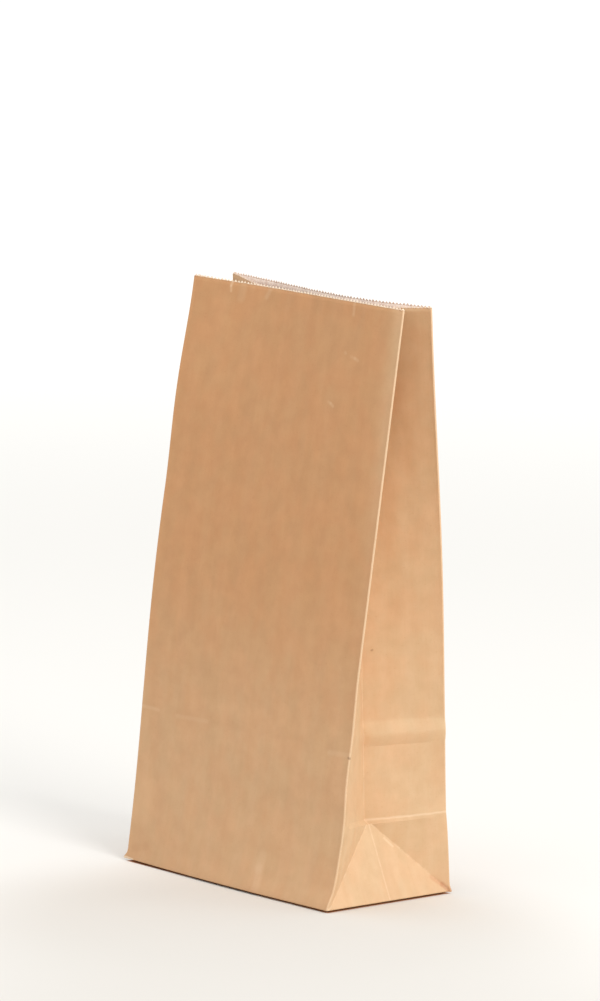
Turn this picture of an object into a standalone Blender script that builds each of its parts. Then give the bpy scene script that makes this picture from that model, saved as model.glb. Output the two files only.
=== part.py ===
"""A flat-bottomed paper bag with side gussets, standing open: one sheet, folded and glued.

Metres, +Z up. The front panel faces -Y and the origin lies on the floor under the middle of the
bottom. A place on the sheet is given by the face it belongs to, how far along that face it lies,
and its height v, measured up the sheet from the bottom fold.
"""

import collections
import math

import bmesh
import bpy
import numpy as np
from mathutils import Vector

# The sheet as it is cut and folded
WIDTH = 0.150  # front and back panels, fold to fold
DEPTH = 0.082  # each gusset laid flat, which is also the bottom's depth
HEIGHT = 0.297  # bottom fold to mouth, along the sheet
SHEET = 0.00022  # two bonded plies of paper
FOLD_RADIUS = 0.0005  # middle of the sheet, at the hard folds
FLAP_OVERLAP = 0.022  # how far the two bottom flaps lie over each other
SEAM_WIDTH = 0.012  # glued lap that closes the tube, on the back panel
SEAM_INSET = 0.016  # from the panel's fold to the lap
SEAM_END = 0.004  # from the panel's fold to where the outer ply has become the panel
TOOTH_PITCH = 0.0022  # pinked mouth
TOOTH_DEPTH = 0.0011

# How the open bag stands
MOUTH_GAP_LEFT = 0.0269  # front fold to back fold at the mouth
MOUTH_GAP_RIGHT = 0.0197
MOUTH_MIDDLE_LEFT = 0.0023  # the middle of that gap, towards the back
MOUTH_MIDDLE_RIGHT = 0.0007
MOUTH_SHIFT = 0.0030  # the whole mouth leans this far to +X
FRONT_MOUTH_BOW = 0.0030  # each panel sags inwards between its folds at the mouth
FRONT_BOW_SKEW = -0.0016  # towards -X
BACK_MOUTH_BOW = 0.0062
BACK_BOW_SKEW = 0.0015  # towards +X
PANEL_BULGE = 0.0012  # panels belly outwards at mid height
GUSSET_BULGE = 0.0009  # each gusset half lies back towards its panel
EAR_HEIGHT = 0.0045  # the bottom's corners stick out sideways, from this height down
EARS = {(-1, -1): 0.0022, (1, -1): 0.0, (1, 1): 0.0013, (-1, 1): 0.0013}

# What folding flat left in the paper: the bottom was turned up against the back
CREASE_DENT = 0.0009  # valley at half the depth, in the back panel and the back gusset halves
RIDGE_BACK = 0.0008  # ridge one depth up, where the bottom's edge pressed through
RIDGE_FRONT = 0.0003
RIDGE_REACH = 0.0045  # to either side of the ridge's top

# How a vertical fold wanders from straight: towards +Y, at a height, fading over a distance
FOLD_BOWS = {
    (-1, -1): ((-0.0040, 0.155, 0.140),),
    (1, -1): ((0.0028, 0.036, 0.040),),
    (1, 1): (),
    (-1, 1): ((-0.0010, 0.120, 0.100),),
}

# How finely it is drawn
PANEL_STEPS = 8
HALF_STEPS = (0.0, 0.12, 0.3, 0.52, 0.76, 1.0)  # across a gusset half, fold to middle
UPPER_ROWS = 8  # between the ridge and the mouth
ARC_STEPS = 3  # round the bottom fold
CREASE_ANGLE = math.radians(12)  # faces that meet more sharply than this show a crease
PLAIN_TOP = 4 * TOOTH_DEPTH  # the last row lies this far under the mouth
EMBED = 0.4 * SHEET  # glued layers reach this far into what they are glued to

HALF_WIDTH = WIDTH / 2
HALF_DEPTH = DEPTH / 2
FLAP_REACH = HALF_DEPTH + FLAP_OVERLAP / 2
FLOOR = 2.5 * SHEET  # middle of the innermost bottom layer, which lies on two flaps
FOOT = FLOOR + FOLD_RADIUS  # where the walls start to turn into the bottom


def hump(distance, reach):
    """1 where distance is 0, falling smoothly to 0 at reach."""
    share = min(abs(distance) / reach, 1.0)
    return 0.5 + 0.5 * math.cos(math.pi * share)


def mouth_y(side_x, side_y):
    """Where a vertical fold ends at the mouth."""
    if side_x > 0:
        return MOUTH_MIDDLE_RIGHT + side_y * MOUTH_GAP_RIGHT / 2
    return MOUTH_MIDDLE_LEFT + side_y * MOUTH_GAP_LEFT / 2


def lean_angle(side_x, side_y):
    """How far a vertical fold leans inwards from upright."""
    return math.asin((HALF_DEPTH - side_y * mouth_y(side_x, side_y)) / HEIGHT)


def fold_point(side_x, side_y, v):
    """A point of the fold between a panel and a gusset half."""
    lean = mouth_y(side_x, side_y) - side_y * HALF_DEPTH
    rise = math.sqrt(HEIGHT**2 - lean**2 - MOUTH_SHIFT**2)
    share = v / HEIGHT
    point = Vector((side_x * HALF_WIDTH, side_y * HALF_DEPTH, FOOT))
    point += Vector((MOUTH_SHIFT, lean, rise)) * share
    for bow, height, reach in FOLD_BOWS[side_x, side_y]:
        point.y += bow * hump(v - height, reach)
    if v < EAR_HEIGHT:
        point.x += side_x * EARS[side_x, side_y] * (1 - v / EAR_HEIGHT) ** 2
    point.y += side_y * relief(side_y, v)
    return point


def relief(side_y, v):
    """How far the old creases push the sheet outwards, or inwards where it is negative."""
    ridge = RIDGE_BACK if side_y > 0 else RIDGE_FRONT
    out = ridge * hump(v - DEPTH, RIDGE_REACH)
    if side_y > 0:
        out -= CREASE_DENT * max(0.0, 1 - abs(v - HALF_DEPTH) / HALF_DEPTH)
    return out


def triangle_tilt(side_x):
    """How far the gusset's bottom triangle leans in, so that its sloping edges keep their length."""
    lean = (lean_angle(side_x, -1) + lean_angle(side_x, 1)) / 2
    return math.acos((1 - math.sin(lean)) / math.cos(lean))


def triangle_point(side_x, y, v):
    tilt = triangle_tilt(side_x)
    return Vector((side_x * (HALF_WIDTH - v * math.sin(tilt)), y, FOOT + v * math.cos(tilt)))


def middle_point(side_x, v):
    """A point of the gusset's middle crease, above the triangle's tip."""
    front = fold_point(side_x, -1, v)
    back = fold_point(side_x, 1, v)
    tip = triangle_point(side_x, 0.0, HALF_DEPTH)
    drop = fold_point(side_x, -1, HALF_DEPTH).z - tip.z
    half_gap = (back.y - front.y) / 2
    inset = math.sqrt(HALF_DEPTH**2 - half_gap**2 - drop**2)
    centre = (front + back) / 2
    settled = min(1.0, (v - HALF_DEPTH) / HALF_DEPTH)
    return Vector((centre.x - side_x * inset, centre.y * settled, centre.z - drop))


def gusset_point(side_x, side_y, s, v):
    """A gusset half, from its fold at s = 0 to the middle crease at s = 1."""
    if v < s * HALF_DEPTH:
        return triangle_point(side_x, side_y * HALF_DEPTH * (1 - s), v)
    start = fold_point(side_x, side_y, v)
    if v < HALF_DEPTH:
        reached = v / HALF_DEPTH
        end = triangle_point(side_x, side_y * (HALF_DEPTH - v), v)
        return start.lerp(end, s / reached) if reached else start
    point = start.lerp(middle_point(side_x, v), s)
    across = math.sin(math.pi * s)
    opened = (v - HALF_DEPTH) / (HEIGHT - HALF_DEPTH)
    along = 0.5 + side_x * (0.5 - s * HALF_DEPTH / WIDTH)
    pressed = mouth_bow(side_y, along) * (v / HEIGHT) ** 3 * (1 - s)
    point.y += side_y * (GUSSET_BULGE * across * math.sqrt(opened) - pressed)
    point.x += side_x * relief(side_y, v) * across
    return point


def mouth_bow(side_y, s):
    """How far a panel sags inwards at the mouth."""
    bow, skew = (BACK_MOUTH_BOW, BACK_BOW_SKEW) if side_y > 0 else (FRONT_MOUTH_BOW, FRONT_BOW_SKEW)
    return bow * math.sin(math.pi * s) - skew * math.sin(2 * math.pi * s)


def panel_point(side_y, s, v):
    """The front or back panel, from its -X fold at s = 0 to its +X fold at s = 1."""
    left = fold_point(-1, side_y, v)
    right = fold_point(1, side_y, v)
    point = left.lerp(right, s)
    share = v / HEIGHT
    inwards = mouth_bow(side_y, s) * share**3
    lean = HALF_DEPTH - side_y * point.y
    point.y += side_y * (PANEL_BULGE * math.sin(math.pi * s) * math.sin(math.pi * share) - inwards)
    point.z -= inwards * (lean + inwards) / HEIGHT
    return point


# Faces in order round the bag, seen from above against the clock: how a point is placed, the
# length, the steps across, and whether the face starts at a hard fold. The others start at a
# gusset's middle crease.
PANEL_SHARES = tuple(k / PANEL_STEPS for k in range(PANEL_STEPS + 1))
SEAM_SHARES = tuple(1 - inset / WIDTH for inset in (SEAM_INSET + SEAM_WIDTH, SEAM_INSET, SEAM_END))
BACK_SHARES = tuple(sorted({*PANEL_SHARES, *SEAM_SHARES}, reverse=True))
INWARD_STEPS = tuple(reversed(HALF_STEPS))
FACES = (
    (lambda s, v: panel_point(-1, s, v), WIDTH, PANEL_SHARES, True),
    (lambda s, v: gusset_point(1, -1, s, v), HALF_DEPTH, HALF_STEPS, True),
    (lambda s, v: gusset_point(1, 1, s, v), HALF_DEPTH, INWARD_STEPS, False),
    (lambda s, v: panel_point(1, s, v), WIDTH, BACK_SHARES, True),
    (lambda s, v: gusset_point(-1, 1, s, v), HALF_DEPTH, HALF_STEPS, True),
    (lambda s, v: gusset_point(-1, -1, s, v), HALF_DEPTH, INWARD_STEPS, False),
)

# A place on a ring round the bag: its face, how many points along that face it lies, its share
# of the face's length (None on the tip of a fold), and where it is
Spot = collections.namedtuple("Spot", "face place share point")


def starts_hard(face):
    return FACES[face % len(FACES)][3]


def fold_tip(corner, before, after):
    """Three points round a hard fold, between the sheet's points before and after it."""
    back = (before - corner).normalized()
    on = (after - corner).normalized()
    inward = (back + on).normalized()
    across = (back - on).normalized()
    turn = (math.pi - back.angle(on)) / 2
    centre = corner + inward * FOLD_RADIUS
    side = across * FOLD_RADIUS * math.sin(turn)
    near = inward * FOLD_RADIUS * math.cos(turn)
    return centre + side - near, corner, centre - side - near


def face_points(v):
    """The sheet's middle line at height v: a list of points for each face, ends included."""
    faces = [[place(s, v) for s in shares] for place, _, shares, _ in FACES]
    for face, points in enumerate(faces):
        if starts_hard(face):
            before = faces[face - 1]
            first, tip, last = fold_tip(points[0], before[-2], points[1])
            before[-1] = first
            points[0] = last
            points.insert(0, tip)
    return faces


def ring(v):
    """The same line as one closed list of spots, each given once."""
    spots = []
    for face, points in enumerate(face_points(v)):
        shares = FACES[face][2]
        names = (None, *shares) if starts_hard(face) else shares
        kept = len(points) if starts_hard(face + 1) else len(points) - 1
        spots += [Spot(face, k, names[k], points[k]) for k in range(kept)]
    return spots


def pinked_edge():
    """The zigzag of the mouth: the spots along its valleys, then for each of them the peak above
    it, or None. Peaks lie on the folds and the teeth between them are evenly spaced."""
    spots, peaks = [], []
    high = face_points(HEIGHT)
    low = face_points(HEIGHT - TOOTH_DEPTH)
    for face, (_, length, _, hard) in enumerate(FACES):
        start = 1 if hard else 0
        if hard:
            spots.append(Spot(face, 0, None, low[face][0]))
            peaks.append(high[face][0])
        lines = np.array([high[face][start:], low[face][start:]])
        places = np.arange(start, start + lines.shape[1])
        along = np.cumsum([0.0, *np.linalg.norm(np.diff(lines[0], axis=0), axis=1)])
        teeth = round(length / TOOTH_PITCH)
        marks = np.linspace(0.0, along[-1], 2 * teeth + 1)
        if not starts_hard(face + 1):
            marks = marks[:-1]
        for k, mark in enumerate(marks):
            peak, valley = (
                Vector([np.interp(mark, along, line[:, axis]) for axis in range(3)])
                for line in lines
            )
            spots.append(Spot(face, np.interp(mark, along, places), None, valley))
            peaks.append(None if k % 2 else peak)
    return spots, peaks


def row_heights():
    """Rows on the sloping creases' steps, at the dent, on the ridge, then evenly to the mouth."""
    triangle = [s * HALF_DEPTH for s in HALF_STEPS]
    ridge = [DEPTH + RIDGE_REACH * k for k in (-1, -0.5, 0, 0.5, 1)]
    between = (triangle[-1] + ridge[0]) / 2
    top = HEIGHT - PLAIN_TOP
    upper = [ridge[-1] + (top - ridge[-1]) * k / UPPER_ROWS for k in range(1, UPPER_ROWS + 1)]
    return [*triangle, between, *ridge, *upper]


def link_mesh(name, mesh):
    data = bpy.data.meshes.new(name)
    mesh.normal_update()
    mesh.to_mesh(data)
    mesh.free()
    obj = bpy.data.objects.new(name, data)
    bpy.context.scene.collection.objects.link(obj)
    return obj


def skin(mesh, below, above):
    """Quads between two closed rings with as many vertices each."""
    for k in range(len(below)):
        mesh.faces.new((below[k - 1], below[k], above[k], above[k - 1]))


def on_slope(spot, v):
    """Whether a spot lies on a crease from the gusset's tip down to a bottom corner."""
    in_gusset = spot.share is not None and FACES[spot.face][1] == HALF_DEPTH
    return in_gusset and math.isclose(spot.share * HALF_DEPTH, v, abs_tol=1e-9)


def skin_walls(mesh, low, below, high, above):
    """Quads between the rows at heights low and high. One that a sloping crease crosses is two
    triangles instead, which meet on the crease."""
    sloped_below = [on_slope(spot, low) for spot in ring(low)]
    sloped_above = [on_slope(spot, high) for spot in ring(high)]
    for k in range(len(below)):
        a, b, c, d = below[k - 1], below[k], above[k], above[k - 1]
        if sloped_below[k - 1] and sloped_above[k]:
            mesh.faces.new((a, b, c))
            mesh.faces.new((a, c, d))
        elif sloped_below[k] and sloped_above[k - 1]:
            mesh.faces.new((a, b, d))
            mesh.faces.new((b, c, d))
        else:
            mesh.faces.new((a, b, c, d))


def join_rings(mesh, lower, below, upper, above):
    """Triangles between two closed rings with unlike numbers of vertices, kept level by place."""

    def passed(spots, k):
        return (spots[k].face, spots[k].place) if k < len(spots) else (len(FACES), 0)

    i = j = 0
    while i < len(below) or j < len(above):
        low, high = below[i % len(below)], above[j % len(above)]
        if i < len(below) and (passed(lower, i + 1) < passed(upper, j + 1) or j == len(above)):
            i += 1
            mesh.faces.new((low, below[i % len(below)], high))
        else:
            j += 1
            mesh.faces.new((low, above[j % len(above)], high))


def build_sheet():
    """The folded sheet's middle surface: the bottom's inner layer, the walls, the mouth."""
    mesh = bmesh.new()
    foot = ring(0.0)
    rounds = []
    for k in range(ARC_STEPS, 0, -1):
        angle = math.pi / 2 * k / ARC_STEPS
        inset = FOLD_RADIUS * (1 - math.cos(angle))
        z = FOOT - FOLD_RADIUS * math.sin(angle)
        scale = Vector((1 - inset / HALF_WIDTH, 1 - inset / HALF_DEPTH, 0.0))
        rounds.append([mesh.verts.new(spot.point * scale + Vector((0, 0, z))) for spot in foot])
    mesh.faces.new(reversed(rounds[0]))
    heights = row_heights()
    walls = [[mesh.verts.new(spot.point) for spot in ring(v)] for v in heights]
    for below, above in zip(rounds, [*rounds[1:], walls[0]]):
        skin(mesh, below, above)
    for k in range(len(heights) - 1):
        skin_walls(mesh, heights[k], walls[k], heights[k + 1], walls[k + 1])
    edge, peaks = pinked_edge()
    valleys = [mesh.verts.new(spot.point) for spot in edge]
    join_rings(mesh, ring(heights[-1]), walls[-1], edge, valleys)
    tips = [mesh.verts.new(peak) if peak else valley for peak, valley in zip(peaks, valleys)]
    for k in range(len(tips)):
        corners = (valleys[k - 1], valleys[k], tips[k], tips[k - 1])
        mesh.faces.new(dict.fromkeys(corners))
    return link_mesh("paper_bag", mesh)


def block(name, top, bottom):
    """A closed block between two outlines with as many points each, as a hidden helper."""
    mesh = bmesh.new()
    upper = [mesh.verts.new(p) for p in top]
    lower = [mesh.verts.new(p) for p in bottom]
    mesh.faces.new(upper)
    mesh.faces.new(reversed(lower))
    skin(mesh, lower, upper)
    bmesh.ops.recalc_face_normals(mesh, faces=mesh.faces)
    return hide(link_mesh(name, mesh))


def hide(obj):
    obj.hide_render = True
    obj.display_type = "WIRE"
    return obj


def flap(name, side_y, under):
    """A bottom flap: full width at its fold, sloping folded ends, and a cut edge past the middle.
    Its underside lies at height under and eases up into the bottom fold."""
    fold = HALF_DEPTH - FOLD_RADIUS
    cut = HALF_DEPTH - FLAP_REACH

    def outline(edge, z):
        halves = (HALF_WIDTH - HALF_DEPTH + edge, HALF_WIDTH - HALF_DEPTH + cut)
        corners = ((-halves[0], edge), (-halves[1], cut), (halves[1], cut), (halves[0], edge))
        return [Vector((x, side_y * y, z)) for x, y in corners]

    return block(name, outline(fold, 2 * SHEET + EMBED), outline(fold - FOLD_RADIUS, under))


def floor_window(name, front, back, under):
    """Clears the floor between the tucked sides, down to a flap's inner face."""
    half = HALF_WIDTH - FLAP_REACH
    corners = ((-half, front), (half, front), (half, back), (-half, back))
    top, bottom = ([Vector((x, y, z)) for x, y in corners] for z in (FOOT, under))
    return block(name, top, bottom)


def seam_lap():
    """The outer ply of the glued lap, on the back panel. It ends in a cut edge towards the
    middle, and on the other side thins out towards the fold, where it is the panel itself."""
    mesh = bmesh.new()
    heights = [*row_heights(), HEIGHT - 2 * TOOTH_DEPTH]
    outside = (1.5 * SHEET, 1.5 * SHEET, 0.5 * SHEET + EMBED)
    inside = (0.5 * SHEET - EMBED,) * len(outside)
    outlines = []
    for v in heights:
        line = [panel_point(1, s, v) for s in SEAM_SHARES]
        outer = [p + Vector((0, y, 0)) for p, y in zip(line, outside)]
        inner = [p + Vector((0, y, 0)) for p, y in zip(line, inside)]
        outlines.append([mesh.verts.new(p) for p in (*outer, *reversed(inner))])
    for below, above in zip(outlines, outlines[1:]):
        skin(mesh, below, above)
    mesh.faces.new(outlines[0])
    mesh.faces.new(outlines[-1])
    bmesh.ops.recalc_face_normals(mesh, faces=mesh.faces)
    return hide(link_mesh("seam_lap", mesh))


def kraft_paper():
    material = bpy.data.materials.new("kraft paper")
    material.use_nodes = True
    shader = material.node_tree.nodes["Principled BSDF"]
    shader.inputs["Base Color"].default_value = (0.60, 0.35, 0.17, 1.0)
    shader.inputs["Roughness"].default_value = 0.8
    shader.inputs["Metallic"].default_value = 0.0
    return material


def main():
    for obj in list(bpy.data.objects):
        bpy.data.objects.remove(obj)
    bag = build_sheet()
    bag.data.materials.append(kraft_paper())
    bag.data.shade_smooth()
    bag.data.set_sharp_from_angle(angle=CREASE_ANGLE)
    wall = bag.modifiers.new("paper", "SOLIDIFY")
    wall.solidify_mode = "NON_MANIFOLD"
    wall.nonmanifold_thickness_mode = "EVEN"
    wall.thickness = SHEET
    wall.offset = 0.0
    middle = FLAP_REACH - HALF_DEPTH
    rim = HALF_DEPTH - 2 * FOLD_RADIUS
    layers = (
        ("UNION", flap("front_flap", -1, SHEET)),
        ("UNION", flap("back_flap", 1, 0.0)),
        ("DIFFERENCE", floor_window("window", -rim, rim, 2 * SHEET)),
        ("DIFFERENCE", floor_window("window_behind", middle + SHEET, rim, SHEET)),
        ("UNION", seam_lap()),
    )
    for operation, layer in layers:
        step = bag.modifiers.new(layer.name, "BOOLEAN")
        step.operation = operation
        step.object = layer
        step.solver = "EXACT"


main()
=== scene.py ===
"""The looks of a kraft paper bag that stands open: one folded and glued sheet on a pale floor.

Metres, +Z up. The front panel faces -Y. A place on the sheet is told by its distance u round the
tube, from the front panel's -X fold and against the clock seen from above, and by its height v,
measured up the sheet from the bottom fold. On one face, t is the distance from where it starts.
"""

import logging
import math
from collections.abc import Iterable
from dataclasses import dataclass, field, replace
from enum import Enum

import bmesh
import bpy
import numpy as np
from mathutils import Matrix, Vector


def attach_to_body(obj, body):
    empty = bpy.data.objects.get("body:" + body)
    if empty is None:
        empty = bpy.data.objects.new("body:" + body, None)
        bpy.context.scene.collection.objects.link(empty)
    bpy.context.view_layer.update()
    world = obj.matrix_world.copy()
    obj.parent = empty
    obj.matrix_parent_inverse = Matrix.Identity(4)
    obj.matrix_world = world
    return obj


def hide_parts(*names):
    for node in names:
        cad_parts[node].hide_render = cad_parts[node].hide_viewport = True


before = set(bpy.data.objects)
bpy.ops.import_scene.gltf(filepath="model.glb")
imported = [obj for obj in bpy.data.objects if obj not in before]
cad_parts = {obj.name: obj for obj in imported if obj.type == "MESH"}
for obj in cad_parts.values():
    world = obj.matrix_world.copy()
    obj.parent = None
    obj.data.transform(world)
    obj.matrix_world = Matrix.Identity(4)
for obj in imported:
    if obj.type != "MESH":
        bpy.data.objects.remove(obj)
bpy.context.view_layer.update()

LOG = logging.getLogger("paper_bag")
MM = 0.001

Array = np.ndarray
Grid = dict[str, np.ndarray]
Span = tuple[float, float]
Tree = bpy.types.NodeTree
Socket = bpy.types.NodeSocket


def linear(code: str) -> tuple[float, float, float, float]:
    """Turns an sRGB colour into the linear one that shaders take.

    Args:
        code: six hexadecimal digits after a #.

    Returns:
        Red, green, blue and an alpha of 1.
    """
    parts = [int(code[k : k + 2], 16) / 255 for k in (1, 3, 5)]
    rgb = [p / 12.92 if p <= 0.04045 else ((p + 0.055) / 1.055) ** 2.4 for p in parts]
    return (*rgb, 1.0)


def add_node(tree: Tree, kind: str, inputs: dict | None = None, **settings) -> bpy.types.Node:
    """Adds a node with its settings, values and links.

    Args:
        tree: the node tree that takes it.
        kind: the node's type name.
        inputs: for each input, by name or number, its value, or the socket that feeds it, or the
            node whose first output does.
        **settings: properties of the node itself.

    Returns:
        The new node.
    """
    node = tree.nodes.new(kind)
    for name, value in settings.items():
        setattr(node, name, value)
    for key, value in (inputs or {}).items():
        if isinstance(value, bpy.types.Node):
            value = value.outputs[0]
        if isinstance(value, Socket):
            tree.links.new(value, node.inputs[key])
        else:
            node.inputs[key].default_value = value
    return node


def start_material(name: str, values: dict) -> tuple[bpy.types.Material, Tree, bpy.types.Node]:
    """Starts a material.

    Args:
        name: the material's name.
        values: what its shader's sockets are set to, by name.

    Returns:
        The material, its node tree and its shader.
    """
    material = bpy.data.materials.new(name)
    material.use_nodes = True
    shader = material.node_tree.nodes["Principled BSDF"]
    for socket, value in values.items():
        shader.inputs[socket].default_value = value
    return material, material.node_tree, shader


class Depth(Enum):
    """The two big panels, by the sign of the Y axis on their side."""

    FRONT = -1
    BACK = 1


class Hand(Enum):
    """The two gussets, by the sign of the X axis on their side."""

    LEFT = -1
    RIGHT = 1


class Face(Enum):
    """The sheet's faces in order round the tube."""

    FRONT_PANEL = 0
    RIGHT_FRONT_HALF = 1
    RIGHT_BACK_HALF = 2
    BACK_PANEL = 3
    LEFT_BACK_HALF = 4
    LEFT_FRONT_HALF = 5

    @property
    def is_panel(self) -> bool:
        """Whether it is a panel and not half a gusset."""
        return self in (Face.FRONT_PANEL, Face.BACK_PANEL)

    @property
    def starts_at_fold(self) -> bool:
        """Whether it is half a gusset that starts at its hard fold, not at the middle crease."""
        return self in (Face.RIGHT_FRONT_HALF, Face.LEFT_BACK_HALF)

    @property
    def depth(self) -> Depth:
        """The side of the bag that it lies on."""
        rear = (Face.RIGHT_BACK_HALF, Face.BACK_PANEL, Face.LEFT_BACK_HALF)
        return Depth.BACK if self in rear else Depth.FRONT


FOLDS = (
    (Hand.LEFT, Depth.FRONT),
    (Hand.RIGHT, Depth.FRONT),
    (Hand.RIGHT, Depth.BACK),
    (Hand.LEFT, Depth.BACK),
)


def each(keys: Iterable, *values: float | tuple) -> dict:
    """A dataclass field that holds one value for each key, in their order."""
    return field(default_factory=lambda: dict(zip(keys, values)))


@dataclass(frozen=True)
class Blank:
    """The sheet as it was cut and creased, in metres."""

    width: float = 0.150
    depth: float = 0.082
    height: float = 0.297
    sheet: float = 0.00022  # thickness of the two bonded plies
    fold_radius: float = 0.0005
    flap_overlap: float = 0.022
    seam_width: float = 0.012
    seam_inset: float = 0.016  # from the back panel's +X fold to the glued part of the lap
    seam_end: float = 0.004
    tooth_pitch: float = 0.0022
    tooth_depth: float = 0.0014

    @property
    def half_width(self) -> float:
        """Half a panel."""
        return self.width / 2

    @property
    def half_depth(self) -> float:
        """One gusset half, from its hard fold to the middle crease."""
        return self.depth / 2

    @property
    def floor(self) -> float:
        """Middle of the innermost bottom layer, which lies on two flaps."""
        return 2.5 * self.sheet

    @property
    def foot(self) -> float:
        """Where the walls start to turn into the bottom."""
        return self.floor + self.fold_radius

    @property
    def flap_reach(self) -> float:
        """How far a bottom flap reaches from its fold."""
        return self.half_depth + self.flap_overlap / 2


@dataclass(frozen=True)
class Stance:
    """How this bag stands open, in metres."""

    # The mouth: the gap between a gusset's folds, the middle of that gap, how much a fold rises
    # there, how far all of it leans to +X, and each panel's bow with its skew. Rises and bows die
    # away down the sheet as a power of the height.
    mouth_gap: dict = each(Hand, 0.0261, 0.0184)
    mouth_middle: dict = each(Hand, 0.0027, 0.00135)
    mouth_rise: dict = each(FOLDS, 0.0012, 0.0002, 0.0002, 0.0003)
    mouth_shift: float = 0.0030
    mouth_bow: dict = each(Depth, (0.0030, -0.0016), (0.0062, 0.0015))
    rise_power: int = 4
    bow_power: int = 3
    # The swell of the faces, and the roll beside the panels' folds near the mouth.
    panel_bulge: float = 0.0012
    gusset_bulge: float = 0.0009
    roll: float = 0.00042
    roll_width: float = 0.008
    # The foot: the ears at its corners, how far its edges stand off the floor, and their bow.
    ears: dict = each(FOLDS, 0.0025, 0.0, 0.0015, 0.0013)
    ear_height: float = 0.0034
    ear_power: float = 1.2
    foot_lift: float = 0.0006
    foot_bow: dict = each(Depth, 0.0020, 0.0006)
    foot_reach: float = 0.050
    # The crease across the back half, half a depth up: its dent in the folds, its rise on gussets.
    crease_dent: float = 0.0009
    crease_rise: float = 0.0014
    crease_reach: float = 0.022
    crease_power: int = 4
    # The edge of the once flat bottom, pressed into the sheet one depth up.
    ridge: dict = each(Depth, 0.0003, 0.0019)
    ridge_foot: float = 0.0772
    ridge_top: float = 0.0828
    ridge_end: float = 0.0905
    relief_spread: float = 0.4
    relief_on_folds: float = 0.2
    # The long bends of the upright folds, towards +Y: rise, middle height and reach of each.
    fold_bows: dict = each(
        FOLDS,
        ((-0.0040, 0.155, 0.140), (-0.0020, 0.243, 0.055)),
        (
            (0.0028, 0.036, 0.040),
            (0.0011, 0.082, 0.032),
            (0.0006, 0.014, 0.015),
            (-0.0018, 0.0, 0.009),
        ),
        ((0.0018, 0.170, 0.115),),
        ((-0.0010, 0.120, 0.100),),
    )


def hump(distance: Array, reach: float) -> Array:
    """1 where distance is 0, falling smoothly to 0 at reach."""
    return 0.5 + 0.5 * np.cos(np.pi * np.minimum(np.abs(distance) / reach, 1.0))


def axes(x: Array, y: Array, z: Array) -> Array:
    """Stacks three arrays of one shape into points."""
    return np.stack(np.broadcast_arrays(x, y, z), axis=-1)


def between(start: Array, end: Array, share: Array) -> Array:
    """Points at a share of the way from start to end."""
    return start + (end - start) * share[..., None]


def unit(vectors: Array) -> Array:
    """Vectors of length 1."""
    return vectors / np.linalg.norm(vectors, axis=-1, keepdims=True)


def outward(points: Array) -> Array:
    """Unit normals of a grid of points whose columns run against the clock."""
    return unit(np.cross(np.gradient(points, axis=1), np.gradient(points, axis=0)))


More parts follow.
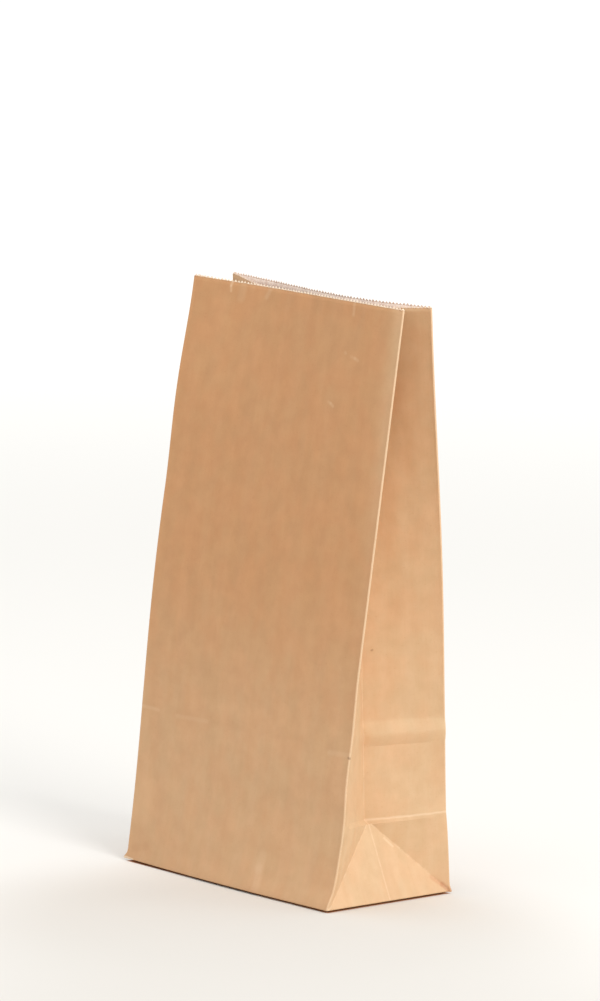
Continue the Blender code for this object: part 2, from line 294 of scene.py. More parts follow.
@dataclass(frozen=True)
class Form:
    """Places every point of the folded sheet's middle surface."""

    blank: Blank = Blank()
    stance: Stance = Stance()

    @property
    def foot(self) -> float:
        """Where the walls start to turn into the bottom, whose outer edges stand a little up."""
        return self.blank.foot + self.stance.foot_lift

    def mouth_y(self, hand: Hand, depth: Depth) -> float:
        """Where an upright fold ends at the mouth."""
        return self.stance.mouth_middle[hand] + depth.value * self.stance.mouth_gap[hand] / 2

    def lean(self, hand: Hand, depth: Depth) -> float:
        """How far an upright fold leans inwards, in radians."""
        run = self.blank.half_depth - depth.value * self.mouth_y(hand, depth)
        return math.asin(run / self.blank.height)

    def relief(self, depth: Depth, v: Array) -> Array:
        """How far the edge of the once flat bottom, pressed into the sheet, pushes it outwards.

        Args:
            depth: the panel, or the side of the gusset half.
            v: heights up the sheet.

        Returns:
            A distance for each height.
        """
        stance = self.stance
        rising = np.clip((v - stance.ridge_foot) / (stance.ridge_top - stance.ridge_foot), 0.0, 1.0)
        falling = hump(np.maximum(v - stance.ridge_top, 0.0), stance.ridge_end - stance.ridge_top)
        return stance.ridge[depth] * np.sin(np.pi / 2 * rising) * falling

    def creased(self, depth: Depth, v: Array, reach: float) -> Array:
        """How much of the crease across the back half shows at each height.

        Args:
            depth: the panel, or the side of the gusset half.
            v: heights up the sheet.
            reach: how far above the crease its trace ends.

        Returns:
            1 on the crease, falling to 0 at the foot and at the reach.
        """
        if depth is Depth.FRONT:
            return np.zeros_like(v)
        half = self.blank.half_depth
        below = (v / half) ** self.stance.crease_power
        return np.where(v < half, below, np.maximum(0.0, 1 - (v - half) / reach))

    def foot_bow(self, depth: Depth, s: Array) -> Array:
        """How far a bottom edge bows outwards at each share of its length."""
        return self.stance.foot_bow[depth] * np.sin(np.pi * s)

    def mouth_bow(self, depth: Depth, s: Array) -> Array:
        """How far a panel sags inwards at each share of the mouth's length."""
        bow, skew = self.stance.mouth_bow[depth]
        return bow * np.sin(np.pi * s) - skew * np.sin(2 * np.pi * s)

    def fold(self, hand: Hand, depth: Depth, v: Array) -> Array:
        """The fold between a panel and a gusset half.

        Args:
            hand: the gusset.
            depth: the panel.
            v: heights up the sheet.

        Returns:
            A point for each height.
        """
        blank, stance = self.blank, self.stance
        lean = self.mouth_y(hand, depth) - depth.value * blank.half_depth
        rise = math.sqrt(blank.height**2 - lean**2 - stance.mouth_shift**2)
        share = v / blank.height
        ear = np.maximum(0.0, 1 - v / stance.ear_height) ** stance.ear_power
        x = hand.value * blank.half_width + stance.mouth_shift * share
        x = x + hand.value * stance.ears[hand, depth] * ear
        y = depth.value * blank.half_depth + lean * share
        for bow, height, reach in stance.fold_bows[hand, depth]:
            y = y + bow * hump(v - height, reach)
        y = y + depth.value * stance.relief_on_folds * self.relief(depth, v)
        y = y - depth.value * stance.crease_dent * self.creased(depth, v, blank.half_depth)
        z = self.foot + rise * share + stance.mouth_rise[hand, depth] * share**stance.rise_power
        return axes(x, y, z)

    def triangle(self, hand: Hand, y: Array, v: Array) -> Array:
        """The gusset's bottom triangle, which leans in so that its sloping edges keep their length.

        Args:
            hand: the gusset.
            y: places across it.
            v: heights up the sheet.

        Returns:
            A point for each.
        """
        lean = (self.lean(hand, Depth.FRONT) + self.lean(hand, Depth.BACK)) / 2
        tilt = math.acos((1 - math.sin(lean)) / math.cos(lean))
        x = hand.value * (self.blank.half_width - v * math.sin(tilt))
        return axes(x, y, self.foot + v * math.cos(tilt))

    def middle(self, hand: Hand, v: Array) -> Array:
        """The gusset's middle crease, above the triangle's tip.

        Args:
            hand: the gusset.
            v: heights up the sheet.

        Returns:
            A point for each height.
        """
        half = self.blank.half_depth
        front, back = (self.fold(hand, depth, v) for depth in Depth)
        tip = self.triangle(hand, np.array(0.0), np.array(half))
        drop = self.fold(hand, Depth.FRONT, np.array(half))[2] - tip[2]
        half_gap = (back[..., 1] - front[..., 1]) / 2
        inset = np.sqrt(np.maximum(half**2 - half_gap**2 - drop**2, 0.0))
        centre = (front + back) / 2
        settled = np.clip((v - half) / half, 0.0, 1.0)
        x = centre[..., 0] - hand.value * inset
        return axes(x, centre[..., 1] * settled, centre[..., 2] - drop)

    def gusset(self, hand: Hand, depth: Depth, s: Array, v: Array) -> Array:
        """A gusset half.

        Args:
            hand: the gusset.
            depth: the half's panel.
            s: shares of the way from the hard fold to the middle crease.
            v: heights up the sheet, of the same shape.

        Returns:
            A point for each.
        """
        blank, stance = self.blank, self.stance
        half = blank.half_depth
        start = self.fold(hand, depth, v)
        lower = self.triangle(hand, depth.value * half * (1 - s), v)
        slope = self.triangle(hand, depth.value * (half - v), v)
        crossed = np.minimum(s / np.maximum(v / half, 1e-9), 1.0)
        beside = between(start, slope, crossed)
        crest = self.creased(depth, v, stance.crease_reach)
        pushed = hand.value * (self.relief(depth, v) + stance.crease_rise * crest)
        beside[..., 0] += pushed * np.sin(np.pi * crossed) ** stance.relief_spread
        upper = between(start, self.middle(hand, np.maximum(v, half)), s)
        across = np.sin(np.pi * s)
        opened = np.maximum(v - half, 0.0) / (blank.height - half)
        along = 0.5 + hand.value * (0.5 - s * half / blank.width)
        pressed = self.mouth_bow(depth, along) * (v / blank.height) ** stance.bow_power * (1 - s)
        upper[..., 1] += depth.value * (stance.gusset_bulge * across * np.sqrt(opened) - pressed)
        upper[..., 0] += pushed * np.maximum(across, 0.0) ** stance.relief_spread
        below = (v < half)[..., None]
        in_triangle = (v < s * half - 1e-9)[..., None]
        return np.where(in_triangle, lower, np.where(below, beside, upper))

    def panel(self, depth: Depth, s: Array, v: Array) -> Array:
        """The front or back panel.

        Args:
            depth: which panel.
            s: shares of the way from its -X fold to its +X fold.
            v: heights up the sheet, of the same shape.

        Returns:
            A point for each.
        """
        blank, stance = self.blank, self.stance
        point = between(self.fold(Hand.LEFT, depth, v), self.fold(Hand.RIGHT, depth, v), s)
        share = v / blank.height
        lean = blank.half_depth - depth.value * point[..., 1]
        near_mouth = share**stance.bow_power
        inwards = self.mouth_bow(depth, s) * near_mouth
        belly = stance.panel_bulge * np.sin(np.pi * s) * np.sin(np.pi * share)
        belly = belly + self.foot_bow(depth, s) * hump(v, stance.foot_reach)
        away = np.minimum(s, 1 - s) * blank.width / stance.roll_width
        belly = belly + stance.roll * away * np.exp(1 - away) * near_mouth
        spread = np.maximum(np.sin(np.pi * s), 0.0) ** stance.relief_spread
        belly = belly + (1 - stance.relief_on_folds) * self.relief(depth, v) * spread
        point[..., 1] += depth.value * (belly - inwards)
        point[..., 2] -= inwards * (lean + inwards) / blank.height
        return point

    def length(self, face: Face) -> float:
        """How long a face is, along the sheet."""
        return self.blank.width if face.is_panel else self.blank.half_depth

    def start(self, face: Face) -> float:
        """The distance u at which a face starts."""
        return sum(self.length(Face(k)) for k in range(face.value))

    def place(self, face: Face, t: Array, v: Array) -> Array:
        """Points of one face.

        Args:
            face: the face.
            t: distances from where the face starts.
            v: heights up the sheet, of the same shape.

        Returns:
            A point for each.
        """
        share = t / self.length(face)
        if face.is_panel:
            return self.panel(face.depth, share if face.depth is Depth.FRONT else 1 - share, v)
        hand = Hand.RIGHT if face.value < Face.BACK_PANEL.value else Hand.LEFT
        return self.gusset(hand, face.depth, share if face.starts_at_fold else 1 - share, v)

    def fold_distance(self, face: Face, t: Array) -> Array:
        """Distance along the sheet to the nearest hard fold: below 0 on panels, above on gussets.

        Args:
            face: the face.
            t: distances from where the face starts.

        Returns:
            The distance for each.
        """
        if face.is_panel:
            return -np.minimum(t, self.blank.width - t)
        return t if face.starts_at_fold else self.blank.half_depth - t


@dataclass(frozen=True)
class Dent:
    """A short crease or dimple that handling left, on one face, in millimetres.

    It runs from one point (t, v) to another; rise is how far it stands out of the face.
    """

    face: Face
    start: Span
    end: Span
    width: float
    rise: float

    def height(self, face: Face, t: Array, v: Array) -> Array:
        """How far the paper moves outwards at each place, in metres.

        Args:
            face: the face that the places are on.
            t: distances from where the face starts.
            v: heights up the sheet, of the same shape.

        Returns:
            The distance for each.
        """
        if face is not self.face:
            return np.zeros_like(t)
        start, end = np.array(self.start) * MM, np.array(self.end) * MM
        since, run = np.stack((t, v), axis=-1) - start, end - start
        share = np.clip((since @ run) / float(run @ run), 0.0, 1.0)
        away = np.linalg.norm(since - share[..., None] * run, axis=-1)
        return self.rise * MM * np.exp(-((away / (self.width * MM)) ** 2))


DENTS = (
    Dent(Face.FRONT_PANEL, (98.5, 18.3), (98.7, 2.7), 3.6, 0.26),
    Dent(Face.FRONT_PANEL, (33.0, 296.0), (32.2, 288.0), 2.6, 0.25),
    Dent(Face.FRONT_PANEL, (25.0, 297.0), (25.0, 291.5), 2.2, 0.18),
    Dent(Face.FRONT_PANEL, (51.5, 297.0), (49.8, 291.0), 2.2, -0.18),
    Dent(Face.FRONT_PANEL, (115.2, 297.0), (115.4, 289.8), 2.2, 0.18),
    Dent(Face.FRONT_PANEL, (4.5, 6.0), (12.0, 8.5), 3.0, -0.25),
    Dent(Face.RIGHT_BACK_HALF, (32.0, 7.7), (38.0, 3.0), 3.0, -0.30),
)


@dataclass(frozen=True)
class Waves:
    """Soft unevenness of a sheet that has been folded, opened and handled.

    Each band is (rise in mm, shortest and longest wave across and up the sheet in mm, waves).
    """

    seed: int = 11
    bands: tuple = (
        (0.085, (14.0, 34.0), (70.0, 260.0), 16),
        (0.014, (6.0, 13.0), (25.0, 90.0), 22),
        (0.009, (5.0, 11.0), (5.0, 11.0), 26),
        (0.080, (16.0, 34.0), (18.0, 44.0), 14),
    )
    calm: float = 0.007  # how far from a fold the waves are back

    def height(self, u: Array, v: Array) -> Array:
        """How far the paper moves outwards at each place, in metres.

        Args:
            u: distances round the tube.
            v: heights up the sheet, of the same shape.

        Returns:
            The distance for each.
        """
        dice = np.random.default_rng(self.seed)
        total = np.zeros_like(u)
        for rise, across, up, count in self.bands:
            for _ in range(count):
                du, dv = (2 * np.pi / (dice.uniform(*wave) * MM) for wave in (across, up))
                phase, sign = dice.uniform(0, 2 * np.pi), dice.choice((-1, 1))
                total += rise * MM * math.sqrt(2 / count) * np.cos(du * u + sign * dv * v + phase)
        return total

    def stilled(self, distance: Array) -> Array:
        """0 on a fold and 1 away from it, since a fold keeps the paper straight."""
        return 1 - np.exp(-((distance / self.calm) ** 2))


@dataclass(frozen=True)
class RubbingAndPaintedLight:
    """Where light is painted into the paper's colour, and how hands have rubbed its folds, as shares."""

    form: Form
    # The right folds' lines are strongest, as painted highlight; every fold is rubbed most near the
    # mouth.
    rubbed: tuple = (Face.RIGHT_FRONT_HALF, Face.RIGHT_BACK_HALF)
    left_rub: float = 0.2
    foot_rub: float = 0.35
    added_rub: float = 0.6
    rub_height: float = 0.2
    # Painted light: all over, added at the foot, and how far above the lit foot that takes to end.
    lit_foot: float = 0.045
    gusset_light: tuple = (0.60, 0.20, 0.22)
    panel_light: tuple = (0.0, 0.45, 0.13)
    # The painted highlight just above the pressed ridge of the right gusset: share, height and reach.
    ridge_highlight: tuple = (0.42, 0.0864, 0.0052)
    # The painted highlight beside the front panel's right fold, and the heights where it builds up.
    strip_highlight: float = 0.6
    strip_width: float = 0.007
    strip_rise: Span = (0.12, 0.29)

    def rubbing(self, face: Face, t: Array, v: Array) -> Array:
        """How rubbed the nearer fold is, the right folds more as painted highlight.

        Args:
            face: the face that the places are on.
            t: distances from where the face starts.
            v: heights up the sheet, of the same shape.

        Returns:
            A share for each place.
        """
        on = np.round(t / self.form.length(face))
        panels = {Face.FRONT_PANEL: on, Face.BACK_PANEL: 1 - on}
        right = panels.get(face, float(face in self.rubbed))
        up = np.clip(v / self.rub_height, 0.0, 1.0)
        return (self.left_rub + (1 - self.left_rub) * right) * (self.foot_rub + self.added_rub * up)

    def light_painting(self, face: Face, t: Array, v: Array) -> Array:
        """Painted light on the paper: most low down, on the gussets, and beside the front's right fold.

        Args:
            face: the face that the places are on.
            t: distances from where the face starts.
            v: heights up the sheet, of the same shape.

        Returns:
            A share for each place.
        """
        # Painted light, where the light falls more: on the gussets and low down.
        everywhere, added, reach = self.panel_light if face.is_panel else self.gusset_light
        low = 1 - np.clip((v - self.lit_foot) / reach, 0.0, 1.0)
        lit_share = everywhere + added * low * low * (3 - 2 * low)
        # Painted highlight above the right gusset's pressed ridge.
        if face is Face.RIGHT_BACK_HALF:
            share, height, reach = self.ridge_highlight
            lit_share = lit_share + share * hump(v - height, reach)
        # Painted highlight beside the front panel's right fold.
        if face is Face.FRONT_PANEL:
            beside = np.exp(-(((self.form.blank.width - t) / self.strip_width) ** 2))
            start, end = self.strip_rise
            lit_share = lit_share + self.strip_highlight * beside * np.clip((v - start) / (end - start), 0.0, 1.0)
        return lit_share


@dataclass
class Sheet:
    """The folded sheet: walls, gussets and the innermost bottom layer."""

    form: Form
    rubbing_and_light: RubbingAndPaintedLight
    finishes: list
    waves: Waves = Waves()
    dents: tuple = DENTS
    # The mesh: steps of its columns and rows, rows on the pressed ridge and round the foot's fold.
    panel_step: float = 0.0021
    half_steps: int = 22
    first_step: float = 0.0009
    row_step: float = 0.0019
    ridge_rows: int = 12
    arc_steps: int = 3
    fold_ease: float = 0.005
    sharp_angle: float = 14.0
    distances: tuple = ("fold", "slope", "middle", "half")
    shares: tuple = ("bleach", "wear")

    def columns(self, face: Face) -> Array:
        """Distances from a face's start at which it has points, its ends included.

        Args:
            face: the face.

        Returns:
            The distances, from 0 to the face's length.
        """
        length = self.form.length(face)
        if face.is_panel:
            count = round(length / self.panel_step)
            return np.array([0.0, *np.linspace(self.first_step, length - self.first_step, count), length])
        steps = self.gusset_steps()
        return steps if face.starts_at_fold else length - steps[::-1]

    def gusset_steps(self) -> Array:
        """Distances from the hard fold, which are also the rows under the triangle's tip."""
        half = self.form.blank.half_depth
        return np.array([0.0, *np.linspace(self.first_step, half, self.half_steps)])

    def rows(self) -> Array:
        """Heights of the rows.

        Returns:
            The heights, from the foot to the valleys of the mouth's teeth.
        """
        blank, stance = self.form.blank, self.form.stance
        ridge = np.linspace(stance.ridge_foot, stance.ridge_end, self.ridge_rows + 1)
        heights = [*self.gusset_steps(), *ridge]
        for low, high in ((blank.half_depth, ridge[0]), (ridge[-1], blank.height - blank.tooth_depth)):
            heights += [*np.linspace(low, high, round((high - low) / self.row_step))]
        return np.unique(np.round(heights, 9))

    def surface(self) -> Grid:
        """Lays the middle surface out as a grid of rows and columns, closed round the tube.

        Returns:
            Arrays by name: points, u, v, the distances to the hard fold, the sloping crease, the
            middle crease and the crease half a depth up, and the shares of painted light and of rubbing.
        """
        form, blank = self.form, self.form.blank
        parts = []
        for face in Face:
            t, v = np.meshgrid(self.columns(face), self.rows())
            u, away = form.start(face) + t, form.fold_distance(face, t)
            slope = (v - away) / math.sqrt(2)
            middle = np.full_like(t, blank.half_depth) if face.is_panel else blank.half_depth - away
            half = v - blank.half_depth if face.depth is Depth.BACK else np.full_like(t, blank.depth)
            creases = [np.abs(away), np.abs(middle)] + [np.abs(slope)] * (not face.is_panel)
            still = self.waves.stilled(np.minimum.reduce(creases)) * self.waves.stilled(v)
            rise = self.waves.height(u, v) * still
            rise = rise + sum(dent.height(face, t, v) for dent in self.dents)
            points = form.place(face, t, v)
            part = {"points": points + outward(points) * rise[..., None], "u": u, "v": v}
            part |= {"fold": away, "slope": slope, "middle": middle, "half": half}
            # Painted light and rubbing, as shares.
            part["bleach"] = self.rubbing_and_light.light_painting(face, t, v)
            part["wear"] = self.rubbing_and_light.rubbing(face, t, v)
            parts.append(part)
        return self.join(parts)

    def join(self, parts: list[Grid]) -> Grid:
        """Joins the faces' grids into one, with each hard fold rounded by three points.

        Args:
            parts: the faces' arrays, in order round the tube.

        Returns:
            The joined arrays, whose columns are all different.
        """
        radius = self.form.blank.fold_radius
        tips = {}
        for k, part in enumerate(parts):
            if k in (Face.RIGHT_BACK_HALF.value, Face.LEFT_FRONT_HALF.value):
                continue  # it starts at a gusset's middle crease, which stays sharp
            before = parts[k - 1]
            corner = part["points"][:, 0].copy()
            back = unit(before["points"][:, -2] - corner)
            on = unit(part["points"][:, 1] - corner)
            inward, across = unit(back + on), unit(back - on)
            turn = (math.pi - np.arccos(np.clip((back * on).sum(-1), -1, 1)))[:, None] / 2
            centre = corner + inward * radius
            side, near = across * radius * np.sin(turn), inward * radius * np.cos(turn)
            self.ease(before, centre + side - near, corner, back, at_end=True)
            self.ease(part, centre - side - near, corner, on, at_end=False)
            tips[k] = {"points": corner[:, None], "fold": np.zeros((len(corner), 1))}
        joined = {name: [] for name in parts[0]}
        for k, part in enumerate(parts):
            stop = None if (k + 1) % len(parts) in tips else -1
            for name, columns in joined.items():
                if k in tips:
                    columns.append(tips[k].get(name, part[name][:, :1]))
                columns.append(part[name][:, :stop])
        return {name: np.concatenate(columns, axis=1) for name, columns in joined.items()}

    def ease(self, part: Grid, end: Array, corner: Array, along: Array, at_end: bool) -> None:
        """Moves a face's outer column onto the rounded fold, and its neighbours a little with it.

        Args:
            part: the face's arrays, changed in place.
            end: where the column goes.
            corner: the sharp corner that it leaves.
            along: unit vectors from the corner into the face.
            at_end: whether it is the face's last column, not its first.
        """
        run = ((end - corner) * along).sum(-1)
        off = end - corner - along * run[:, None]
        fade = np.maximum(0.0, 1 - np.abs(part["fold"]) / self.fold_ease) ** 2
        count = fade.shape[1]
        half, column = (slice(count // 2, None), -1) if at_end else (slice(count // 2), 0)
        part["points"][:, half] += off[:, None] * fade[:, half, None]
        part["points"][:, column] = end
        part["fold"][:, column] = math.copysign(1, part["fold"][0, count // 2]) * run

    def build(self) -> bpy.types.Object:
        """Makes the sheet's mesh, with its thickness, patterns' coordinates and finishes.

        Returns:
            The piece.
        """
        blank = self.form.blank
        grid = self.surface()
        turns = np.linspace(math.pi / 2, 0, self.arc_steps, endpoint=False)[:, None]
        inset, drop = blank.fold_radius * (1 - np.cos(turns)), blank.fold_radius * np.sin(turns)
        x, y, z = grid["points"][0].T
        lower = {name: np.repeat(grid[name][:1], self.arc_steps, axis=0) for name in grid}
        lower["points"] = axes(
            x * (1 - inset / blank.half_width), y * (1 - inset / blank.half_depth), z - drop
        )
        lower["v"] -= blank.fold_radius * turns
        spread = {name: np.concatenate([lower[name], grid[name]]) for name in grid}
        index = np.arange(spread["u"].size).reshape(spread["u"].shape)
        on = np.roll(index, -1, axis=1)
        quads = np.stack((index[:-1], on[:-1], on[1:], index[1:]), axis=-1).reshape(-1, 4)
        faces = self.split_on_slopes(quads, spread) + self.tucked_sides(spread["points"][0])
        mesh = bpy.data.meshes.new("kraft_sheet")
        mesh.from_pydata(spread["points"].reshape(-1, 3).tolist(), [], faces)
        self.store(mesh, spread)
        obj = dress(mesh, self.finishes, self.sharp_angle)
        wall = obj.modifiers.new("paper", "SOLIDIFY")
        wall.thickness = blank.sheet
        wall.offset = 0.0
        wall.material_offset = 1
        wall.material_offset_rim = 2
        return settle(obj)

    @staticmethod
    def split_on_slopes(quads: Array, spread: Grid) -> list:
        """Turns the quads that a sloping crease crosses into triangles that meet on it.

        Args:
            quads: four corners for each quad.
            spread: the sheet's arrays.

        Returns:
            The faces, each a tuple of corners.
        """
        on_crease = ((np.abs(spread["slope"]) < 1e-7) & (spread["v"] > 0)).reshape(-1)
        faces = []
        for a, b, c, d in quads.tolist():
            if on_crease[a] and on_crease[c]:
                faces += [(a, b, c), (a, c, d)]
            elif on_crease[b] and on_crease[d]:
                faces += [(a, b, d), (b, c, d)]
            else:
                faces.append((a, b, c, d))
        return faces

    def tucked_sides(self, ring: Array) -> list:
        """The innermost bottom layer: the gussets' ends, tucked in on either side of the middle.

        Args:
            ring: the points of the lowest row, which come first in the mesh.

        Returns:
            A face for each gusset.
        """
        cut = self.form.blank.half_width - self.form.blank.flap_reach
        faces = []
        for hand in Hand:
            order = np.flatnonzero(hand.value * ring[:, 0] > cut)
            gap = int(np.argmax(np.diff(order))) + 1 if hand is Hand.LEFT else 0
            faces.append(tuple(np.roll(order, -gap)[::-1].tolist()))
        return faces

    def store(self, mesh: bpy.types.Mesh, spread: Grid) -> None:
        """Gives the mesh the sheet's own coordinates, in millimetres, and a UV map in metres.

        Args:
            mesh: the new mesh.
            spread: the sheet's arrays.
        """
        known = {name + "_mm": spread[name].reshape(-1) / MM for name in self.distances}
        mark_ply(mesh, **known, **{name: spread[name].reshape(-1) for name in self.shares})
        u, v = spread["u"].reshape(-1), spread["v"].reshape(-1)
        round_the_tube = 2 * (self.form.blank.width + self.form.blank.depth)
        corners = np.empty(len(mesh.loops), np.int64)
        mesh.loops.foreach_get("vertex_index", corners)
        at = u[corners]
        for polygon in mesh.polygons:
            loops = list(polygon.loop_indices)
            if len(loops) <= 4 and np.ptp(at[loops]) > round_the_tube / 2:
                at[loops] += round_the_tube * (at[loops] < round_the_tube / 2)
        places = np.stack((at, v[corners]), axis=1).astype(np.float32)
        mesh.uv_layers.new(name="sheet").data.foreach_set("uv", places.reshape(-1))


def mark_ply(mesh: bpy.types.Mesh, **known: float | Array) -> None:
    """Stores on a ply what the kraft finish reads: crease distances in mm, painted light and rubbing.

    Args:
        mesh: the ply's mesh.
        **known: values by attribute name, one for the ply or one for each vertex; a crease that
            isn't named is far away, and the ply has no painted light and isn't rubbed.
    """
    far_away = 99.0
    plain = dict.fromkeys(("fold_mm", "slope_mm", "middle_mm", "half_mm"), far_away)
    for name, value in (plain | {"bleach": 0.0, "wear": 0.0} | known).items():
        layer = mesh.attributes.new(name, "FLOAT", "POINT")
        layer.data.foreach_set("value", np.broadcast_to(value, len(mesh.vertices)).astype(np.float32))


def dress(mesh: bpy.types.Mesh, finishes: list, sharp_angle: float = 30.0) -> bpy.types.Object:
    """Turns a mesh into a smooth-shaded object of its name, with its finishes.

    Args:
        mesh: the mesh.
        finishes: its materials, in order.
        sharp_angle: the angle in degrees past which an edge stays sharp.

    Returns:
        The object, in the scene.
    """
    for finish in finishes:
        mesh.materials.append(finish)
    mesh.shade_smooth()
    mesh.set_sharp_from_angle(angle=math.radians(sharp_angle))
    obj = bpy.data.objects.new(mesh.name, mesh)
    bpy.context.scene.collection.objects.link(obj)
    return obj


def settle(obj: bpy.types.Object) -> bpy.types.Object:
    """Turns an object's evaluated shape into its plain mesh and takes its modifiers off.

    Args:
        obj: the object, changed in place.

    Returns:
        The same object.
    """
    graph = bpy.context.evaluated_depsgraph_get()
    mesh = bpy.data.meshes.new_from_object(obj.evaluated_get(graph), depsgraph=graph)
    obj.modifiers.clear()
    obj.data = mesh
    mesh.name = obj.name
    return obj


def plate(name: str, sides: tuple, uv: Array, rims: tuple, finishes: list) -> bpy.types.Object:
    """Makes a closed plate of paper between two grids of points.

    Args:
        name: the piece's name.
        sides: the grids of points of its two sides, of one shape.
        uv: the sheet's coordinates at each point of a grid.
        rims: which finish the first row, last row, first column and last column have.
        finishes: the piece's materials, of which the sides have the first.

    Returns:
        The piece.
    """
    work = bmesh.new()
    layer = work.loops.layers.uv.new("sheet")
    over, under = ([[work.verts.new(point) for point in line] for line in side] for side in sides)
    rows, columns = range(len(over)), range(len(over[0]))
    for k in rows[1:]:
        for j in columns[1:]:
            for side in (over, under):
                work.faces.new((side[k - 1][j - 1], side[k - 1][j], side[k][j], side[k][j - 1]))
    paths = [[(k, j) for j in columns] for k in (0, rows[-1])]
    paths += [[(k, j) for k in rows] for j in (0, columns[-1])]
    for path, finish in zip(paths, rims):
        for (k, j), (m, n) in zip(path, path[1:]):
            rim = work.faces.new((over[k][j], over[m][n], under[m][n], under[k][j]))
            rim.material_index = finish
    bmesh.ops.recalc_face_normals(work, faces=work.faces)
    for side in (over, under):
        for k, j in np.ndindex(uv.shape[:2]):
            for loop in side[k][j].link_loops:
                loop[layer].uv = uv[k, j]
    mesh = bpy.data.meshes.new(name)
    work.to_mesh(mesh)
    work.free()
    return dress(mesh, finishes)


@dataclass
class BottomFlap:
    """One of the two bottom flaps, with sloping folded ends and a cut edge past the middle."""

    form: Form
    depth: Depth
    name: str
    under: float  # height of its lower side
    finishes: list
    steps: int = 24
    step_power: float = 1.5  # sets the rows closer near the fold
    edge_lift: float = 0.0011
    lift_reach: float = 0.005
    lift_turn: float = 0.3  # how far the lifted side draws in, as a share of the lift
    least_ply: float = 0.3  # both as shares of the sheet
    layer_gap: float = 0.02
    # Painted light, as at the sheet's foot.
    lit_share: float = 0.45

    def build(self) -> bpy.types.Object:
        """Makes the flap as a closed plate whose outer side eases up into the bottom fold.

        Returns:
            The piece.
        """
        blank = self.form.blank
        fold = blank.half_depth - blank.fold_radius
        reach = blank.flap_reach - blank.fold_radius
        shares = np.linspace(0.0, 1.0, self.steps + 1) ** self.step_power
        share, along = np.meshgrid(shares, np.linspace(0.0, 1.0, 2 * self.steps + 1), indexing="ij")
        edge = fold - reach * share
        x = (blank.half_width - blank.half_depth + edge) * (2 * along - 1)
        lift = self.edge_lift * np.exp(-share * reach / self.lift_reach)
        y = edge + self.form.foot_bow(self.depth, along) * (1 - share) ** 2
        roof = blank.floor + self.form.stance.foot_lift - self.layer_gap * blank.sheet
        top = axes(x, self.depth.value * y, np.array(roof))
        low = np.minimum(self.under + lift, roof - self.least_ply * blank.sheet)
        bottom = axes(x, self.depth.value * (y - self.lift_turn * lift), low)
        uv = np.stack((x + blank.half_width, np.abs(y - fold)), axis=-1)
        flap = plate(self.name, (top, bottom), uv, (0, 1, 0, 0), self.finishes)
        mark_ply(flap.data, bleach=self.lit_share)
        return flap


@dataclass
class GluedLap:
    """The outer ply of the glued lap that closes the tube, down the back panel."""

    sheet: Sheet
    finishes: list
    steps: int = 10
    least_gap: float = 0.00001
    ply: float = 0.9  # both as shares of the sheet's thickness
    sunk: float = 0.3

    def build(self) -> bpy.types.Object:
        """Makes the lap as a closed strip that ends in a cut edge towards the panel's middle.

        Returns:
            The piece.
        """
        sheet, form, blank = self.sheet, self.sheet.form, self.sheet.form.blank
        cut = blank.seam_inset + blank.seam_width
        t, v = np.meshgrid(np.linspace(cut, blank.seam_end, self.steps + 1), sheet.rows())
        u = form.start(Face.BACK_PANEL) + t
        base = form.place(Face.BACK_PANEL, t, v)
        normal = outward(base)
        normal *= np.sign(normal[..., 1:2])
        waves = sheet.waves
        rise = waves.height(u, v) * waves.stilled(t) * waves.stilled(v)
        thick = np.clip((t - blank.seam_end) / (blank.seam_inset - blank.seam_end), 0.0, 1.0)
        out = rise + (0.5 + thick * self.ply) * blank.sheet + self.least_gap
        sides = tuple(base + normal * at[..., None] for at in (out, rise + self.sunk * blank.sheet))
        lap = plate("glued_lap", sides, np.stack((u, v), axis=-1), (1, 1, 1, 0), self.finishes)
        both = np.tile(t.ravel(), 2), np.tile(v.ravel(), 2)
        # The lap takes the back panel's painted light and rubbing.
        mark_ply(
            lap.data,
            fold_mm=both[0] / MM,
            half_mm=(both[1] - blank.half_depth) / MM,
            bleach=sheet.rubbing_and_light.light_painting(Face.BACK_PANEL, *both),
            wear=sheet.rubbing_and_light.rubbing(Face.BACK_PANEL, *both),
        )
        return lap


